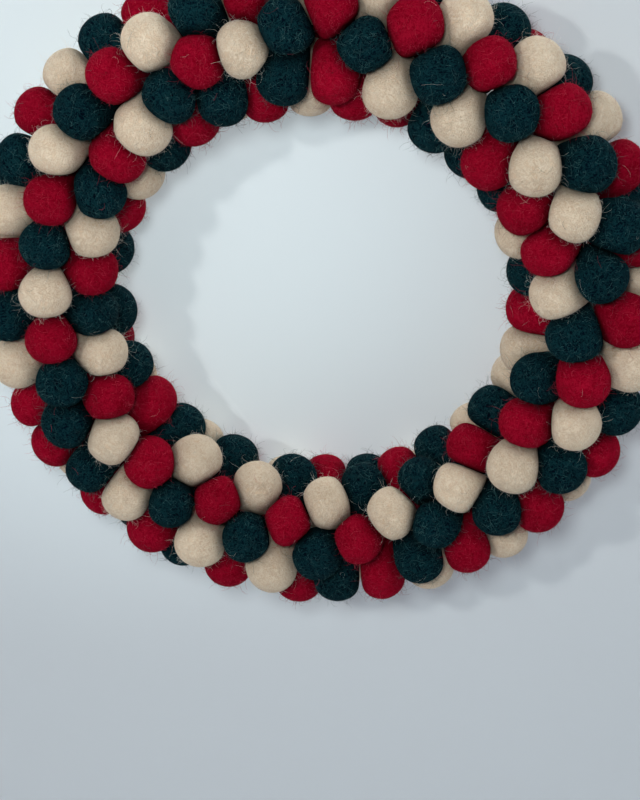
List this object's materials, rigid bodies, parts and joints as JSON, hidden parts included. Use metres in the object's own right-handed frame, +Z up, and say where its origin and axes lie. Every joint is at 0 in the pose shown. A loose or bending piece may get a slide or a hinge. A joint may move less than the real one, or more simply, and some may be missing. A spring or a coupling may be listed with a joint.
{
  "type": "felt ball wreath",
  "caption": "Round wreath of wool felt balls in red, dark green and cream, squeezed together all round the ring's tube; hangs on a wall.",
  "frame": {"origin": "the hanging point: the top of the hole's inner edge, where a nail or hook bears", "axes": "+Z up, -Y out of the wreath's front, +Y towards the wall, +X to the right seen from the front"},
  "size_m": [0.3174, 0.0746, 0.3166],
  "materials": {
    "mixed_felt": "felted wool balls in three colours, matt",
    "red_felt": "felted wool, crimson, matt with stray hairs",
    "green_felt": "felted wool, bottle green, matt with stray hairs",
    "cream_felt": "felted wool, undyed cream, matt with stray hairs"
  },
  "bodies": {
    "root": {"ball_arc_01": "mixed_felt", "ball_arc_02": "mixed_felt", "ball_arc_03": "mixed_felt", "ball_arc_04": "mixed_felt", "ball_arc_05": "mixed_felt", "ball_arc_06": "mixed_felt", "ball_arc_07": "mixed_felt", "ball_arc_08": "mixed_felt", "ball_arc_09": "mixed_felt", "ball_arc_10": "mixed_felt", "ball_arc_11": "mixed_felt", "ball_arc_12": "mixed_felt", "ball_arc_13": "mixed_felt", "ball_arc_14": "mixed_felt", "ball_arc_15": "mixed_felt", "ball_arc_16": "mixed_felt"}
  },
  "joints": []
}
